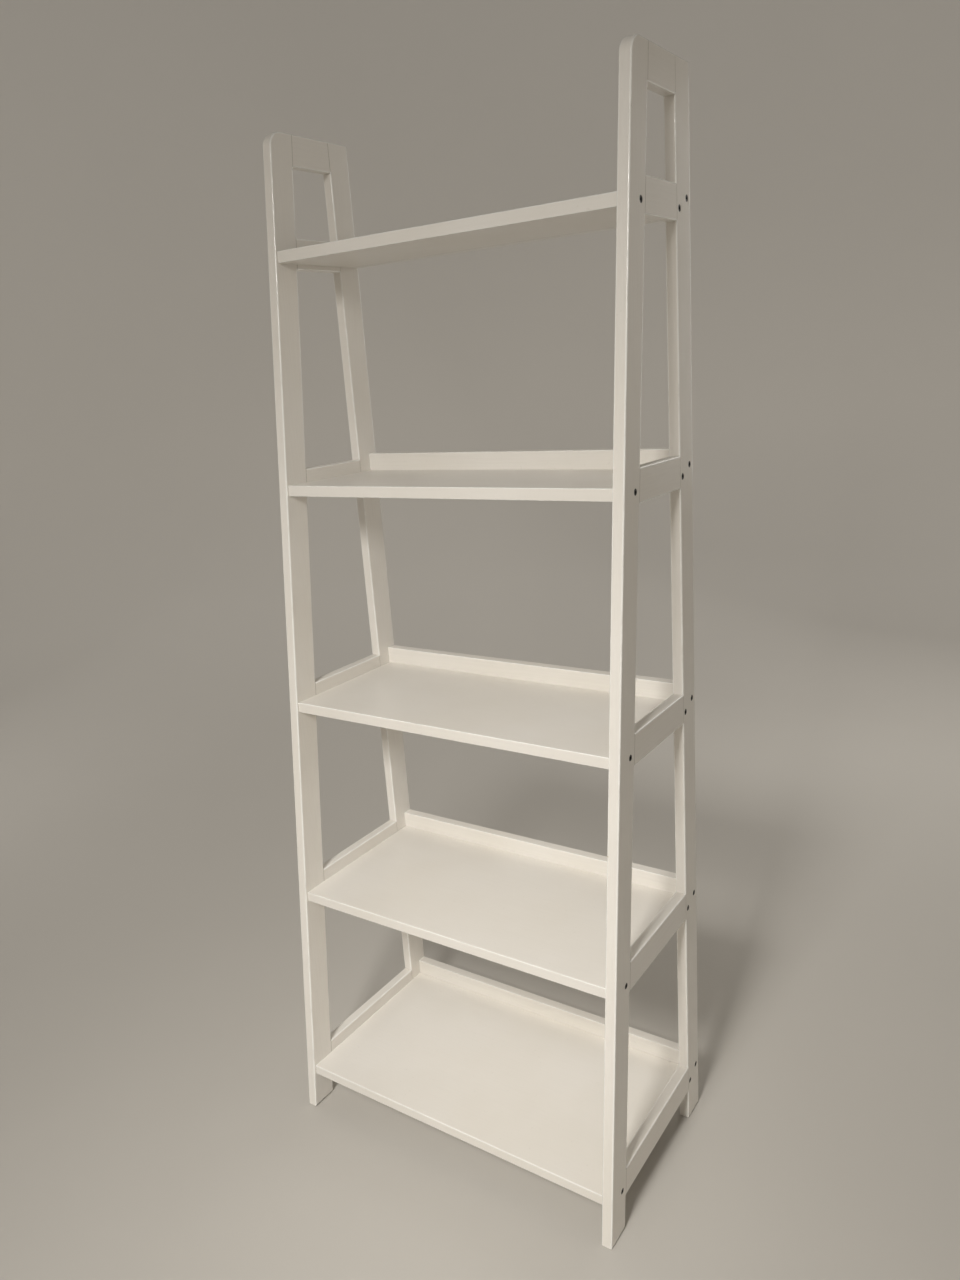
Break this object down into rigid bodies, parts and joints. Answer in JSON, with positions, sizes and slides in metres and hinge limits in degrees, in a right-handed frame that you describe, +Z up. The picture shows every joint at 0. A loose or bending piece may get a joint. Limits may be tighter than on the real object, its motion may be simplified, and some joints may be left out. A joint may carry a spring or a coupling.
{
  "type": "ladder shelf",
  "caption": "Free-standing ladder shelf: leaning front legs and upright rear legs carry shelves that get shallower upwards, with rail ends, back lips and hand-holds at the top.",
  "frame": {"origin": "on the floor, at the middle of the footprint", "axes": "+X to the right seen from the front, +Y from the front to the wall side, +Z up"},
  "size_m": [0.636, 0.36, 1.704],
  "materials": {
    "painted_wood": "satin warm-white paint over smooth boards",
    "black_steel": "dark oxide, low sheen",
    "bare_beech": "bare turned dowel",
    "dark_plastic": "moulded, matt"
  },
  "bodies": {
    "root": {"left_front_leg": "painted_wood", "left_rear_leg": "painted_wood", "left_header": "painted_wood", "left_rail_1": "painted_wood", "left_rail_2": "painted_wood", "left_rail_3": "painted_wood", "left_rail_4": "painted_wood", "left_rail_5": "painted_wood", "left_screws": "black_steel", "left_frame_dowels": "bare_beech", "left_front_glide": "dark_plastic", "left_rear_glide": "dark_plastic", "right_front_leg": "painted_wood", "right_rear_leg": "painted_wood", "right_header": "painted_wood", "right_rail_1": "painted_wood", "right_rail_2": "painted_wood", "right_rail_3": "painted_wood", "right_rail_4": "painted_wood", "right_rail_5": "painted_wood", "right_screws": "black_steel", "right_frame_dowels": "bare_beech", "right_front_glide": "dark_plastic", "right_rear_glide": "dark_plastic", "shelf_1": "painted_wood", "back_lip_1": "painted_wood", "shelf_2": "painted_wood", "back_lip_2": "painted_wood", "shelf_3": "painted_wood", "back_lip_3": "painted_wood", "shelf_4": "painted_wood", "back_lip_4": "painted_wood", "shelf_5": "painted_wood", "back_lip_5": "painted_wood", "lip_dowels": "bare_beech"}
  },
  "joints": []
}
